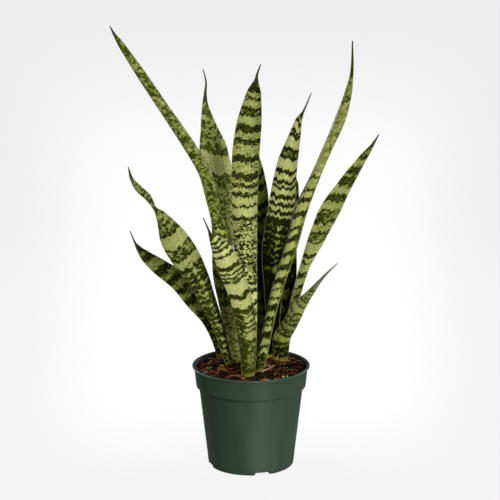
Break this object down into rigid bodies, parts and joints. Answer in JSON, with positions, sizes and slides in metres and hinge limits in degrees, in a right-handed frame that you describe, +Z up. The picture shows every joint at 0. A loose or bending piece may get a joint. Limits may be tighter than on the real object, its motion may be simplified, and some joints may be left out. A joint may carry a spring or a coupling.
{
  "type": "potted ceylon bowstring hemp",
  "caption": "Upright succulent with stiff, channelled, cross-banded sword leaves ending in dry spikes, growing in potting mix in a round tapered plastic nursery pot.",
  "frame": {"origin": "middle of the pot's underside, on the flat pad in the middle of its floor, which stands on the surface", "axes": "+Z up along the pot's axis and the plant's height; +X to the right and -Y to the front as the leaves are seen from the side their hollow faces look to"},
  "size_m": [0.3416, 0.204, 0.5918],
  "materials": {
    "pot_plastic": "satin",
    "potting_mix": "matte",
    "leaf": "satin"
  },
  "bodies": {
    "root": {"pot": "pot_plastic", "potting_mix": "potting_mix", "leaf_far_left_tall": "leaf", "leaf_left_back": "leaf", "leaf_centre_tall": "leaf", "leaf_right_back": "leaf", "leaf_right_tall": "leaf", "leaf_far_right": "leaf", "leaf_front_broad": "leaf", "leaf_low_right": "leaf", "leaf_low_left": "leaf", "leaf_left_curled": "leaf", "leaf_behind_centre": "leaf", "leaf_behind_right": "leaf"}
  },
  "joints": []
}
